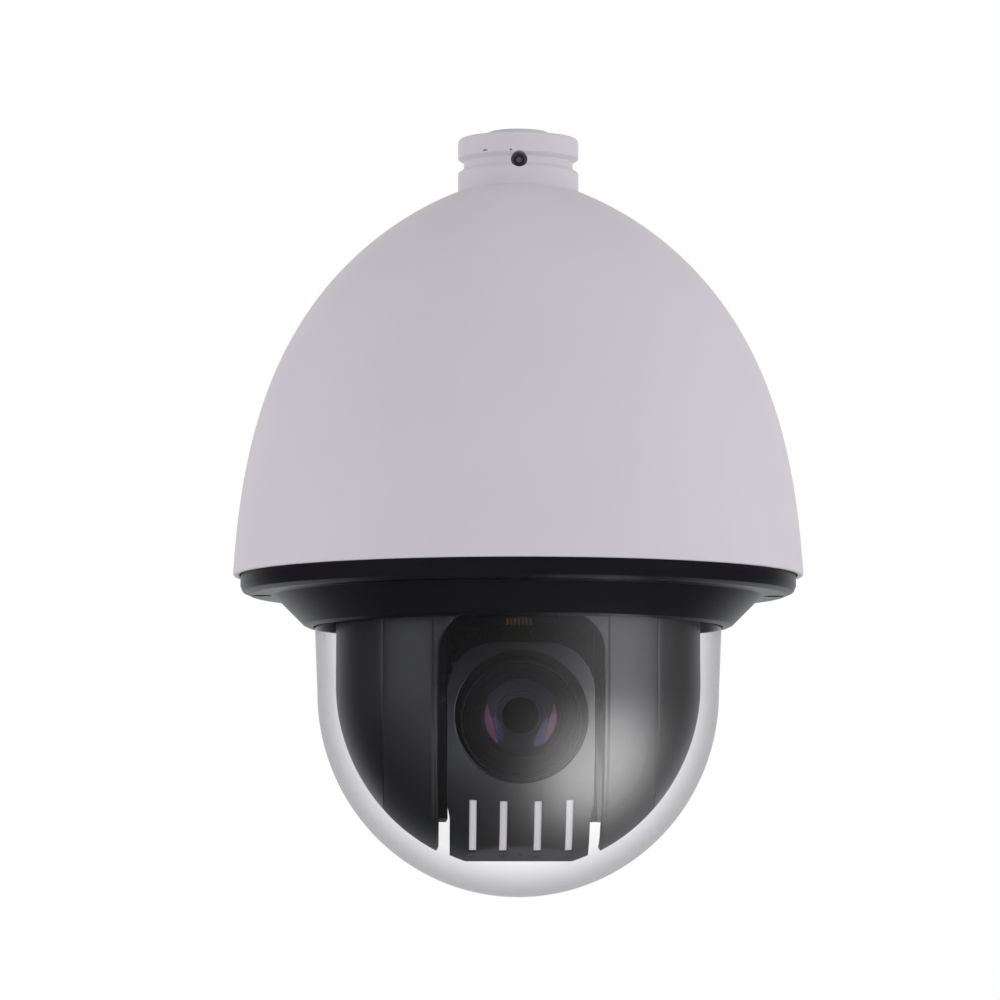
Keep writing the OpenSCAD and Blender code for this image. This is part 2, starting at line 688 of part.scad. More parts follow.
neck_adapter();
cable_grommet();
neck_set_screws();
sun_shield();
neck_screws();
inner_housing();
shield_screws();
housing_gasket();
dome_ring();
ring_screws();
dome_seal();
dome_cover();
dome_clamp_ring();
dome_clamp_screws();
chassis_plate();
chassis_screws();
slip_ring_stator();
pan_bearing_outer();
pan_bearing_balls();
pan_motor();
pan_belt();
main_board();
power_board();
board_standoffs();
heat_sink();
heater();
fan_frame();
fan_impeller();
pan_motor_pulley();
pan_hub();
pan_bearing_inner();
pan_pulley();
turntable();
slip_ring_rotor();
yoke_arm_left();
yoke_arm_right();
pan_cover_front();
pan_cover_rear();
pan_cover_left();
pan_cover_right();
tilt_bearings();
tilt_motor();
tilt_belt();
tilt_board();
tilt_motor_pulley();
tilt_bracket();
tilt_shafts();
tilt_pulley();
tilt_cover_front();
tilt_cover_rear();
vent_plate();
camera_body();
contact_strip();
sensor_board();
lens_barrel();
lens_bezel();
front_lens();
zoom_lens_group();
focus_lens_group();
ir_cut_filter();
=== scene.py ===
import json
import math

import bmesh
import bpy
import numpy as np
from mathutils import Matrix, Vector


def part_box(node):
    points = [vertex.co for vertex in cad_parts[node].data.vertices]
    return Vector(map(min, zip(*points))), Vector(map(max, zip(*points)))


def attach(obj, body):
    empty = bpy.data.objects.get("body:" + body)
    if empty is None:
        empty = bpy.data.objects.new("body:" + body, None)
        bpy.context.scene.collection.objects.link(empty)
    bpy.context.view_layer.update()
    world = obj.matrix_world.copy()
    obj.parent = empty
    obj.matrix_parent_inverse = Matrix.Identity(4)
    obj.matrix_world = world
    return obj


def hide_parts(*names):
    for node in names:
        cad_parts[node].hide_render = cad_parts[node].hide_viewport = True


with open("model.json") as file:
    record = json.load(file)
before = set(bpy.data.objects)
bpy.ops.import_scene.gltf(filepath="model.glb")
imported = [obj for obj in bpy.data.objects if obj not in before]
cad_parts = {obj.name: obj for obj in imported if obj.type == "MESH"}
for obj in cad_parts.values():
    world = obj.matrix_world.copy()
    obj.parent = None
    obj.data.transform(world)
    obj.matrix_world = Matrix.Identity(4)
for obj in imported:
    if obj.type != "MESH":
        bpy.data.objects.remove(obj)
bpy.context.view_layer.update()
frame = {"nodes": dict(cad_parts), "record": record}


# ---- studio ----
# A plain white room: pale floor well below the hanging camera, an even white surround, and soft
# boxes. The camera stands level with the dome's foot and looks up a little.
MM = 0.001
scene = bpy.context.scene
scene.view_settings.view_transform = "Standard"


def paint(hex_code):
    """Linear colour of an sRGB hex value."""
    parts = [int(hex_code[i:i + 2], 16) / 255 for i in (1, 3, 5)]
    return tuple(p / 12.92 if p <= 0.04045 else ((p + 0.055) / 1.055) ** 2.4 for p in parts) + (1,)


def add(tree, kind, sets=None, links=None):
    """Adds a node with its settings and its links: {input: (node, output)}."""
    made = tree.nodes.new("ShaderNode" + kind)
    for key, value in (sets or {}).items():
        if isinstance(key, str) and hasattr(made, key):
            setattr(made, key, value)
        else:
            made.inputs[key].default_value = value
    for key, (source, output) in (links or {}).items():
        tree.links.new(source.outputs[output], made.inputs[key])
    return made


lip_low, lip_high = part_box("sun_shield")
floor_z = -1.15

room = bpy.data.worlds.new("white_room")
scene.world = room
room.use_nodes = True
tree = room.node_tree
tree.nodes.clear()
where = add(tree, "TexCoord")
axes = add(tree, "SeparateXYZ", links={0: (where, "Generated")})
# The lit sweep is behind the object. In front of it the room is dim, and almost dark in a reflection
depth = add(tree, "MapRange", {"From Min": -0.9, "From Max": 0.7, "To Min": 0.34, "To Max": 1.0},
            {"Value": (axes, "Y")})
flag = add(tree, "MapRange", {"interpolation_type": "SMOOTHSTEP", "From Min": 0.6, "From Max": 1.05,
                              "To Min": 0.015, "To Max": 0.9}, {"Value": (axes, "Y")})
rays = add(tree, "LightPath")
lit = add(tree, "Background", {"Color": (1.0, 0.985, 1.0, 1)}, {"Strength": (depth, 0)})
mirrored_room = add(tree, "Background", {"Color": (0.96, 0.97, 1.0, 1)}, {"Strength": (flag, 0)})
seen = add(tree, "Background", {"Color": (1, 1, 1, 1), "Strength": 1.0})
soft = add(tree, "MixShader", links={0: (rays, "Is Glossy Ray"), 1: (lit, 0), 2: (mirrored_room, 0)})
both = add(tree, "MixShader", links={0: (rays, "Is Camera Ray"), 1: (soft, 0), 2: (seen, 0)})
add(tree, "OutputWorld", links={"Surface": (both, 0)})

white = bpy.data.materials.new("floor_matt_white_vinyl")
white.use_nodes = True
tree = white.node_tree
paper = tree.nodes["Principled BSDF"]
paper.inputs["Roughness"].default_value = 0.7
spot = add(tree, "TexCoord")
fibre = add(tree, "TexNoise", {"Scale": 60.0}, {"Vector": (spot, "Object")})
tone = add(tree, "ValToRGB", links={0: (fibre, 0)})
tone.color_ramp.elements[0].color = paint("#ECECEE")
tone.color_ramp.elements[1].color = paint("#F6F6F6")
tree.links.new(tone.outputs[0], paper.inputs["Base Color"])
bpy.ops.mesh.primitive_circle_add(vertices=96, radius=4, fill_type="NGON", location=(0, 0, floor_z))
floor = bpy.context.object
floor.name = "floor"
floor.data.materials.append(white)
floor.visible_glossy = False


def softbox(name, place, aim, size, power, tint="#FFFFFF"):
    """A square area light at a place, turned to aim at a point; metres and watts."""
    lamp = bpy.data.lights.new(name, "AREA")
    lamp.shape = "DISK"
    lamp.size = size
    lamp.energy = power
    lamp.color = paint(tint)[:3]
    holder = bpy.data.objects.new(name, lamp)
    scene.collection.objects.link(holder)
    holder.location = place
    holder.rotation_euler = (Vector(aim) - Vector(place)).to_track_quat("-Z", "Y").to_euler()
    holder.visible_camera = False
    return holder


# The two large boxes stand behind frost: they light the object and leave no hard reflection
for box in (
    softbox("key_right_front", (1.95, -1.15, 0.3), (0, 0, -0.14), 1.6, 19.5, "#FBFCFF"),
    softbox("fill_left_front", (-1.9, -1.15, 0.2), (0, 0, -0.14), 1.6, 14, "#FAFAFF"),
):
    box.visible_glossy = False
# Small boxes give the black covers their sheen. Flags keep each of them off some of the pieces
off_dome = bpy.data.collections.new("flag_off_the_dome")
off_block = bpy.data.collections.new("flag_off_the_block")
off_ring = bpy.data.collections.new("flag_off_the_ring")
for box, flags in (
    (softbox("side_left", (-1.4, -0.6, -0.1), (0, 0, -0.22), 0.9, 6, "#EEF0FF"), off_block),
    (softbox("side_right", (1.4, -0.5, -0.1), (0, 0, -0.22), 0.9, 6.5, "#F4F5FF"), off_dome),
    (softbox("low_left", (-0.7, -0.9, -0.98), (0, 0, -0.22), 0.7, 5.5, "#EEF0FF"), off_dome),
    (softbox("low_right", (0.54, -0.37, -0.72), (0.01, -0.05, -0.24), 0.85, 14.5), off_ring),
):
    box.visible_diffuse = False
    box.light_linking.receiver_collection = flags

view_range = 2.14
eye_height = -0.31717
eye_bearing = math.radians(-1.0)
lens = bpy.data.cameras.new("camera")
lens.lens = 198.9
lens.sensor_width = 36
lens.shift_x = -0.0182
eye = bpy.data.objects.new("camera", lens)
scene.collection.objects.link(eye)
eye.location = (math.sin(eye_bearing) * view_range, -math.cos(eye_bearing) * view_range, eye_height)
eye.rotation_euler = (math.radians(90 + 4.7), 0, eye_bearing)
scene.camera = eye


# ---- mounting neck ----
# Die-cast aluminium spigot with a turned groove, sprayed with the housing's light grey powder coat.
# It slips into a pipe bracket, and set screws in three radial holes lock it.
NECK_R = 23.5
GROOVE_R = 21.28
NECK_H = 20.6
GREY = "#DAD5DB"


def finish(name, base, rough, metal=0.0, grain=0.5, relief=0.01, mottle=0.05, coat=0.0, stretch=(1, 1, 1)):
    """Surface with a fine grain: size of the grain and height of its relief in mm, mottle of its colour."""
    made = bpy.data.materials.new(name)
    made.use_nodes = True
    tree = made.node_tree
    skin = tree.nodes["Principled BSDF"]
    skin.inputs["Metallic"].default_value = metal
    skin.inputs["Coat Weight"].default_value = coat
    skin.inputs["Coat Roughness"].default_value = 0.08
    spot = add(tree, "TexCoord")
    turned = add(tree, "Mapping", {"Scale": stretch}, {"Vector": (spot, "Object")})
    fine = add(tree, "TexNoise", {"Scale": 1 / (grain * MM), "Detail": 3.0}, {"Vector": (turned, 0)})
    broad = add(tree, "TexNoise", {"Scale": 28.0, "Detail": 4.0}, {"Vector": (spot, "Object")})
    tone = add(tree, "ValToRGB", links={0: (broad, 0)})
    tone.color_ramp.elements[0].position = 0.3
    tone.color_ramp.elements[1].position = 0.7
    colour = paint(base)
    tone.color_ramp.elements[0].color = tuple(c * (1 - mottle) for c in colour[:3]) + (1,)
    tone.color_ramp.elements[1].color = tuple(min(1, c * (1 + mottle)) for c in colour[:3]) + (1,)
    tree.links.new(tone.outputs[0], skin.inputs["Base Color"])
    spread = {"To Min": rough * 0.88, "To Max": min(1, rough * 1.12)}
    sheen = add(tree, "MapRange", spread, {"Value": (fine, 0)})
    tree.links.new(sheen.outputs[0], skin.inputs["Roughness"])
    bump = add(tree, "Bump", {"Strength": 1.0, "Distance": relief * MM}, {"Height": (fine, 0)})
    tree.links.new(bump.outputs[0], skin.inputs["Normal"])
    return made


def rounded(corners, steps=5):
    """Closed outline from (r, z) or (r, z, radius) corners, with each given radius drawn as an arc."""
    out = []
    count = len(corners)
    for i, corner in enumerate(corners):
        here = Vector(corner[:2])
        radius = corner[2] if len(corner) > 2 else 0
        if radius <= 0:
            out.append(tuple(here))
            continue
        to_a = (Vector(corners[i - 1][:2]) - here).normalized()
        to_b = (Vector(corners[(i + 1) % count][:2]) - here).normalized()
        half = to_a.angle(to_b) / 2
        reach = radius / math.tan(half)
        centre = here + (to_a + to_b).normalized() * (radius / math.sin(half))
        first = here + to_a * reach - centre
        last = here + to_b * reach - centre
        for k in range(steps + 1):
            out.append(tuple(centre + first.lerp(last, k / steps).normalized() * radius))
    return out


def solid(name, verts, faces, body, slot, material, replaces=(), angle=32, place=None):
    """Mesh object from points in mm, smooth but for edges sharper than the angle."""
    mesh = bpy.data.meshes.new(name)
    points = [Vector(v) * MM for v in verts]
    if place:
        points = [place @ p for p in points]
    mesh.from_pydata(points, [], faces)
    work = bmesh.new()
    work.from_mesh(mesh)
    bmesh.ops.remove_doubles(work, verts=work.verts, dist=1e-7)
    bmesh.ops.dissolve_degenerate(work, edges=work.edges, dist=1e-7)
    bmesh.ops.recalc_face_normals(work, faces=work.faces)
    work.to_mesh(mesh)
    work.free()
    mesh.shade_smooth()
    mesh.set_sharp_from_angle(angle=math.radians(angle))
    piece = bpy.data.objects.new(name, mesh)
    scene.collection.objects.link(piece)
    mesh.materials.append(material)
    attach(piece, body)
    if replaces:
        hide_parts(*replaces)
    return piece


def turned_mesh(outline, segments=160):
    """Vertices and faces of a closed (r, z) outline turned about the Z axis."""
    verts, faces = [], []
    count = len(outline)
    for s in range(segments):
        turn = 2 * math.pi * s / segments
        verts += [(r * math.cos(turn), r * math.sin(turn), z) for r, z in outline]
    for s in range(segments):
        a, b = s * count, (s + 1) % segments * count
        faces += [(a + i, a + (i + 1) % count, b + (i + 1) % count, b + i) for i in range(count)]
    return verts, faces


def cut(piece, *cutters):
    """Cuts the cutters' shapes out of a piece and drops them."""
    for cutter in cutters:
        tool = piece.modifiers.new("cut", "BOOLEAN")
        tool.object = cutter
        tool.solver = "EXACT"
        settle(piece)
        bpy.data.objects.remove(cutter)


def settle(piece, angle=32):
    """Applies a piece's modifiers to its mesh."""
    graph = bpy.context.evaluated_depsgraph_get()
    mesh = bpy.data.meshes.new_from_object(piece.evaluated_get(graph))
    piece.modifiers.clear()
    piece.data = mesh
    mesh.shade_smooth()
    mesh.set_sharp_from_angle(angle=math.radians(angle))


def rod(radius, length, place, steps=32):
    """Plain cylinder used as a cutter, from the place's origin along its Z; mm."""
    return solid_cutter([(0.001, 0), (radius, 0), (radius, length), (0.001, length)], place, steps)


def solid_cutter(outline, place, steps):
    """Turned shape used as a cutter about the place's Z; mm."""
    verts, faces = turned_mesh(outline, steps)
    mesh = bpy.data.meshes.new("cutter")
    mesh.from_pydata([place @ (Vector(v) * MM) for v in verts], [], faces)
    work = bmesh.new()
    work.from_mesh(mesh)
    bmesh.ops.remove_doubles(work, verts=work.verts, dist=1e-5)
    bmesh.ops.dissolve_degenerate(work, edges=work.edges, dist=1e-7)
    bmesh.ops.recalc_face_normals(work, faces=work.faces)
    work.to_mesh(mesh)
    work.free()
    made = bpy.data.objects.new("cutter", mesh)
    scene.collection.objects.link(made)
    return made


def spoke(turn, radius, z):
    """Matrix that sets a piece's Z axis pointing outward at a turn in degrees, a radius and a height."""
    return (Matrix.Rotation(math.radians(turn), 4, "Z") @ Matrix.Translation((radius * MM, 0, z * MM))
            @ Matrix.Rotation(math.radians(90), 4, "Y"))


# Powder coat: a soft gloss with a faint orange peel
coated_casting = finish("powder_coated_die_cast_aluminium", GREY, 0.38, grain=1.4, relief=0.012, mottle=0.02)
neck = solid(
    "neck_spigot",
    *turned_mesh(rounded([
        (12.4, 0, 0.5), (NECK_R, 0, 1.6), (NECK_R, -7.8, 0.6), (GROOVE_R, -9.2, 0.4), (GROOVE_R, -11.9, 0.4),
        (NECK_R, -13.5, 0.6), (NECK_R, -NECK_H, 0.2), (20, -NECK_H), (20, -33), (12.4, -33)
    ])),
    "housing", "painted_casting", coated_casting, ["neck_adapter"])
cut(neck, *[rod(3.2, 12, spoke(turn, 17.5, -10.7)) for turn in (30, 150, 270)])

# Dark chips in the coat where a wrench slipped beside the front screw
chipped = finish("bare_oxidised_aluminium", "#3A3A3E", 0.6, metal=0.4, grain=0.3, relief=0.03, mottle=0.3)


def chip(number, turn, z, wide, tall):
    """Flake-shaped film on the neck at a turn in degrees; sizes in mm."""
    shape = ((-1, -0.2), (-0.5, -0.9), (0.2, -0.5), (0.9, -0.8), (1, 0.1), (0.4, 0.4), (0.1, 1), (-0.6, 0.5))
    verts = []
    for lift in (-0.05, 0.03):
        for a, b in shape:
            angle = math.radians(turn) + a * wide / 2 / NECK_R
            r = NECK_R + lift
            verts.append((r * math.cos(angle), r * math.sin(angle), z + b * tall / 2))
    faces = [tuple(range(7, -1, -1)), tuple(range(8, 16))]
    faces += [(k, (k + 1) % 8, 8 + (k + 1) % 8, 8 + k) for k in range(8)]
    solid(f"chip_{number}", verts, faces, "housing", "painted_casting", chipped)


chip(1, 236, -6.9, 2.2, 0.7)
chip(2, 262, -7.2, 0.8, 0.9)


# ---- cable inlet ----
# Moulded rubber bush pressed into the neck, with a rounded shoulder standing above it.
inlet_rubber = finish("moulded_grey_rubber", "#C9C8CC", 0.62, grain=0.6, relief=0.01)
solid(
    "cable_inlet",
    *turned_mesh(rounded([(8, -36, 0.3), (12.25, -36, 0.3), (12.25, 2.8, 1.4), (8, 2.8, 0.8)])),
    "housing", "inlet_rubber", inlet_rubber, ["cable_grommet"])


# ---- set screws ----
# Socket set screws in passivated blue-grey steel, screwed in below the groove's floor.
set_steel = finish("passivated_blue_grey_steel", "#7C8894", 0.35, metal=1.0, grain=0.3, relief=0.006)


def set_screw(turn):
    body = solid(
        f"set_screw_{turn}", *turned_mesh(rounded([(0.001, 0), (2.5, 0), (2.5, 6.4, 0.5), (0.001, 6.4)]), 40),
        "housing", "set_screw_steel", set_steel, ["neck_set_screws"], place=spoke(turn, 13.2, -10.6))
    cut(body, rod(1.35, 5, spoke(turn, 17.4, -10.6), 6))


for turn in (30, 150, 270):
    set_screw(turn)


# ---- sun shield ----
# Weatherproof ASA, injection moulded in one bell with a rolled lip. It has the even satin gloss of a
# polished tool and hangs from the neck with an air gap to the housing.
SHIELD_A = 112
SHIELD_H = 244.8
SHIELD_Z0 = -260
SHIELD_WALL = 2.5
TOP_TURN = 17.6
LIP_TURN = 82.1


def bell(turn, inset=0):
    """Point of the shield's superellipse outline, moved inward square to it."""
    s, c = math.sin(math.radians(turn)), math.cos(math.radians(turn))
    kr, kz = 2 / 1.54, 2 / 3.92
    slope = Vector((SHIELD_A * kr * s ** (kr - 1) * c, -SHIELD_H * kz * c ** (kz - 1) * s)).normalized()
    return (SHIELD_A * s ** kr + slope.y * inset, SHIELD_Z0 + SHIELD_H * c ** kz - slope.x * inset)


turns = np.linspace(TOP_TURN, LIP_TURN, 72)
lip_out, lip_in = bell(LIP_TURN), bell(LIP_TURN, SHIELD_WALL)
outer = [bell(t) for t in turns[:-1]]
inner = [bell(t, SHIELD_WALL) for t in turns[-2::-1]]
lip = rounded([outer[-1], (lip_out[0], lip_out[1], 0.7), (lip_in[0], lip_out[1], 0.5), inner[0]])[1:-1]
bell_outline = [(20.1, -NECK_H), (23.6, -NECK_H)] + outer + lip + inner + [(20.1, inner[-1][1])]
asa = finish("moulded_light_grey_asa", GREY, 0.46, grain=0.9, relief=0.006, mottle=0.012)
shield = solid("sun_shield_bell", *turned_mesh(bell_outline, 256), "housing", "shield_plastic", asa,
               ["sun_shield"])


# ---- dome ring ----
# Die-cast aluminium ring, black powder coat. Its flat carries four captive screws and its cone
# narrows to the lip that holds the dome.
RING_R = 107.7
SEAT_Z = -186
ring_coat = finish("black_powder_coated_aluminium", "#1B1B20", 0.36, grain=1.0, relief=0.012, mottle=0.1)
ring = solid(
    "dome_ring_casting",
    *turned_mesh(rounded([
        (105.4, -168, 0.3), (RING_R, -168, 0.5), (RING_R, -175.2, 0.4), (RING_R - 0.9, -177.3, 0.8),
        (103.9, -178.6, 1.0), (94.7, -178.6, 0.7), (83.2, -190.1, 0.8), (81.2, -191, 0.6), (79.4, -191, 0.4),
        (79.4, SEAT_Z), (85.5, SEAT_Z), (85.5, -181.5), (89, -181.5), (89, -176), (93.5, -176), (93.5, -171),
        (105.4, -171)
    ]), 256),
    "housing", "ring_black", ring_coat, ["dome_ring"])
screw_seat = Matrix.Translation((99.4 * MM, 0, -182 * MM))
cut(ring, *[rod(3.8, 6, Matrix.Rotation(math.radians(t), 4, "Z") @ screw_seat) for t in (0, 90, 180, 270)])


def keep_light_off(piece, *flags):
    """Hides a piece from the lamps that shine past the given flags."""
    for holder in flags:
        holder.objects.link(piece)
        holder.collection_objects[-1].light_linking.link_state = "EXCLUDE"


for piece in (ring, shield, neck):
    keep_light_off(piece, off_dome, off_block, off_ring)


# ---- captive screws ----
# Black oxide machine screws with a domed head and a hexagon socket, held captive in the ring's pockets.
black_oxide = finish("black_oxide_steel", "#2A2A2E", 0.42, metal=1.0, grain=0.4, relief=0.008)


def captive_screw(turn):
    spot = (Matrix.Rotation(math.radians(turn), 4, "Z") @ Matrix.Translation((99.4 * MM, 0, -176.1 * MM))
            @ Matrix.Rotation(math.pi, 4, "X"))
    head = rounded([(0.001, -9), (1.6, -9), (1.6, 0), (3.5, 0, 0.2), (3.5, 2.1, 0.9), (0.001, 2.1)])
    made = solid(f"captive_screw_{turn}", *turned_mesh(head, 48), "housing", "blackened_steel", black_oxide,
                 ["ring_screws"], place=spot)
    cut(made, rod(1.5, 3, spot @ Matrix.Translation((0, 0, 1.0 * MM)), 6))


for turn in (0, 90, 180, 270):
    captive_screw(turn)


# ---- dome cover ----
# Clear polycarbonate bubble, blown or injection moulded to optical quality with a hard coat. It shows
# clean reflections and a faint haze round bright lights; its see-through colour greys a little at its edge, a
# painted shade.
DOME_R = 77.8
DOME_H = 79
DOME_Z = -216.2
DOME_WALL = 2.8
clear = bpy.data.materials.new("hard_coated_polycarbonate")
clear.use_nodes = True
tree = clear.node_tree
tree.nodes.clear()
edge = add(tree, "LayerWeight", {"Blend": 0.5})
# Painted shade: the see-through colour greys from white to #C6C4C8 as the wall turns edge-on at the outline
rim = add(tree, "ValToRGB", links={0: (edge, "Facing")})
rim.color_ramp.elements[0].position = 0.45
rim.color_ramp.elements[0].color = (1, 1, 1, 1)
rim.color_ramp.elements[1].position = 1.0
rim.color_ramp.elements[1].color = paint("#C6C4C8")
through = add(tree, "BsdfTransparent", links={"Color": (rim, 0)})
steep = add(tree, "Math", {"operation": "POWER", 1: 5.0}, {0: (edge, "Facing")})
bounce = add(tree, "MapRange", {"To Min": 0.0, "To Max": 0.8}, {"Value": (steep, 0)})
spot = add(tree, "TexCoord")
grain = add(tree, "TexNoise", {"Scale": 90.0, "Detail": 2.0}, {"Vector": (spot, "Object")})
wave = add(tree, "Bump", {"Strength": 0.4, "Distance": 0.000004}, {"Height": (grain, 0)})
gloss = add(tree, "BsdfGlossy", {"Roughness": 0.03}, {"Normal": (wave, 0)})
body = add(tree, "MixShader", links={0: (bounce, 0), 1: (through, 0), 2: (gloss, 0)})
haze = add(tree, "BsdfGlossy", {"Roughness": 0.45})
veil = add(tree, "MapRange", {"To Min": 0.056, "To Max": 0.06}, {"Value": (grain, 0)})
misted = add(tree, "MixShader", links={0: (veil, 0), 1: (body, 0), 2: (haze, 0)})
add(tree, "OutputMaterial", links={"Surface": (misted, 0)})

# The inner face has an anti-fog coat: no gloss of its own and nearly no colour
anti_fog = bpy.data.materials.new("anti_fog_coated_polycarbonate")
anti_fog.use_nodes = True
tree = anti_fog.node_tree
tree.nodes.clear()
spot = add(tree, "TexCoord")
trace = add(tree, "TexNoise", {"Scale": 40.0}, {"Vector": (spot, "Object")})
tone = add(tree, "ValToRGB", links={0: (trace, 0)})
tone.color_ramp.elements[0].color = paint("#FDFDFE")
tone.color_ramp.elements[1].color = paint("#FFFFFF")
through = add(tree, "BsdfTransparent", links={"Color": (tone, 0)})
add(tree, "OutputMaterial", links={"Surface": (through, 0)})


def bowl(radius, height, centre, draft, top, steps=64):
    """Outline of a half-ellipsoid under a wall that widens a little to its top."""
    curve = [(radius + draft * (top - centre), top)]
    curve += [(radius + draft * (top - centre) * k / 4, centre + (top - centre) * k / 4) for k in (3, 2, 1)]
    curve += [(max(0.001, radius * math.cos(a)), centre - height * math.sin(a))
              for a in np.linspace(0, math.pi / 2, steps)]
    return curve


outside = bowl(DOME_R, DOME_H, DOME_Z, 0.04, SEAT_Z)
inside = bowl(DOME_R - DOME_WALL, DOME_H - DOME_WALL, DOME_Z, 0.04, SEAT_Z + 3)
bubble = [(85.3, SEAT_Z + 3), (85.3, SEAT_Z)] + outside + inside[::-1]
dome = solid("dome_bubble", *turned_mesh(bubble, 256), "housing", "clear_dome", clear, ["dome_cover"],
             angle=40)
dome.data.materials.append(anti_fog)
for face in dome.data.polygons:
    centre = face.center / MM
    if face.normal.dot(Vector((centre.x, centre.y, min(0, centre.z - DOME_Z)))) < 0:
        face.material_index = 1
keep_light_off(dome, off_dome, off_block)


# ---- pan covers ----
# Black PC-ABS shells, injection moulded with a semi-gloss face. Front and rear halves meet at the tilt
# shaft and carry the window; a cap closes each cheek.
BALL_R = 70.8
BALL_H = 73.1
BALL_Z = -212
BALL_TOP = -156
COVER_T = 2
WINDOW = 31.7
WINDOW_TOP = -188.4
WINDOW_CORNER = 15.5
SEAM = 52
tilt_joint = next(j for j in frame["record"]["behaviour"]["joints"] if j["name"] == "tilt")
TILT_Z = tilt_joint["pos_m"][2] / MM
cover_black = finish("satin_black_pc_abs", "#141419", 0.5, grain=0.8, relief=0.004, mottle=0.06)
# The caps' black is painted a shade darker than the covers': painted shade for the darker strip where the
# cheeks turn away. The lower roughness is the caps' glossier moulding.
cap_black_painted_shade = finish("semi_gloss_black_pc_abs_painted_darker", "#0E0E12", 0.36, grain=0.8, relief=0.003, mottle=0.06)


def ball_r(z):
    """Radius of the ball at a height."""
    if z >= BALL_Z:
        return BALL_R + 0.015 * (z - BALL_Z)
    return BALL_R * math.sqrt(max(0, 1 - ((z - BALL_Z) / BALL_H) ** 2))


def ball_y(x, z):
    return math.sqrt(max(0, ball_r(z) ** 2 - x * x))


def skin(name, columns, keep, outward, thick, bevel, **rest):
    """Shell from columns of points: columns[i][j], with a face where keep(i, j) says so."""
    rows = len(columns[0])
    verts = [p for column in columns for p in column]
    faces = []
    for i in range(len(columns) - 1):
        for j in range(rows - 1):
            if keep(i, j):
                faces.append((i * rows + j, i * rows + j + 1, (i + 1) * rows + j + 1, (i + 1) * rows + j))
    return plate(name, verts, faces, outward, thick, bevel, **rest)


def plate(name, verts, faces, outward, thick, bevel, body, slot, material, replaces=(), place=None, angle=32,
          even=False):
    """Open surface thickened inward, with its edges rounded. outward is a function of a face's centre."""
    piece = solid(name, verts, faces, body, slot, material, replaces, place=place)
    mesh = piece.data
    work = bmesh.new()
    work.from_mesh(mesh)
    home = place.inverted() if place else Matrix()
    score = 0
    for f in work.faces:
        centre = home @ f.calc_center_median() / MM
        score += f.calc_area() * (home.to_3x3() @ f.normal).dot(Vector(outward(centre)))
    if score < 0:
        bmesh.ops.reverse_faces(work, faces=work.faces)
    work.to_mesh(mesh)
    work.free()
    wall = piece.modifiers.new("wall", "SOLIDIFY")
    wall.thickness = thick * MM
    wall.offset = -1
    wall.use_even_offset = even
    if bevel:
        edge = piece.modifiers.new("edge", "BEVEL")
        edge.width = bevel * MM
        edge.segments = 3
        edge.limit_method = "ANGLE"
        edge.angle_limit = math.radians(50)
        edge.use_clamp_overlap = True
    settle(piece, angle)
    return piece


def drop(x, top, levels, side):
    """Column of points on the ball at x, down through the levels to the end of the last; top is not used;
    side is -1 in front.
    """
    heights = []
    for (a, b), count in levels:
        heights += list(np.linspace(a, b, count, endpoint=False))
    heights.append(levels[-1][0][1])
    return [(x, side * ball_y(x, z), z) for z in heights]


def foot(x, start, count, side):
    """Column of points on the ball at x, from a height down to the plane y = 0, evenly round the curve."""
    k = math.sqrt(1 - (x / BALL_R) ** 2)
    first = math.asin(min(1, (BALL_Z - start) / (BALL_H * k)))
    return [(x, side * BALL_R * k * math.cos(a), BALL_Z - BALL_H * k * math.sin(a))
            for a in np.linspace(first, math.pi / 2, count)]


def mirrored(values):
    return sorted({round(-v, 6) for v in values} | {round(v, 6) for v in values})


def outward_from_axis(centre):
    return (centre.x, centre.y, 0.4 * (centre.z - BALL_Z) if centre.z < BALL_Z else 0)


corner_z = WINDOW_TOP - WINDOW_CORNER
inner_x = WINDOW - WINDOW_CORNER
xs = mirrored(
    [inner_x * k / 4 for k in range(5)]
    + [inner_x + WINDOW_CORNER * math.sin(a) for a in np.linspace(0, math.pi / 2, 14)]
    + [WINDOW + (SEAM - WINDOW) * k / 8 for k in range(9)])


def window_edge(x):
    over = min(WINDOW_CORNER, max(0, abs(x) - inner_x))
    return WINDOW_TOP - WINDOW_CORNER + math.sqrt(WINDOW_CORNER ** 2 - over ** 2)


def front_column(x):
    edge = window_edge(x) if abs(x) < WINDOW else corner_z
    upper = drop(x, BALL_TOP, [((BALL_TOP, edge), 12)], -1)
    if abs(x) < WINDOW - 1e-6:
        return upper + [upper[-1]] * 26
    return upper + foot_from(x, corner_z, -1)


def foot_from(x, start, side):
    """Points below a level that lies on the wall: a short drop, then round the foot, 26 in all."""
    short = [(x, side * ball_y(x, z), z) for z in np.linspace(start, BALL_Z, 3)[1:]]
    return short + foot(x, BALL_Z, 25, side)[1:]


front_columns = [front_column(x) for x in xs]
skin(
    "pan_cover_front_shell", front_columns,
    lambda i, j: j < 12 or min(abs(xs[i]), abs(xs[i + 1])) >= WINDOW - 1e-6,
    outward_from_axis, COVER_T, 0.45, body="pan_unit", slot="cover_black", material=cover_black,
    replaces=["pan_cover_front"])

NOTCH = 27.8
NOTCH_TOP = -231
NOTCH_CORNER = 10
REAR_FOOT = -265.5
REAR_OPEN = 36
notch_x = NOTCH - NOTCH_CORNER
rear_xs = mirrored(
    [notch_x * k / 5 for k in range(6)]
    + [notch_x + NOTCH_CORNER * math.sin(a) for a in np.linspace(0, math.pi / 2, 10)]
    + [NOTCH + (WINDOW - NOTCH) * k / 2 for k in range(3)]
    + [WINDOW, 33, 34.5] + [REAR_OPEN + (SEAM - REAR_OPEN) * k / 7 for k in range(8)])


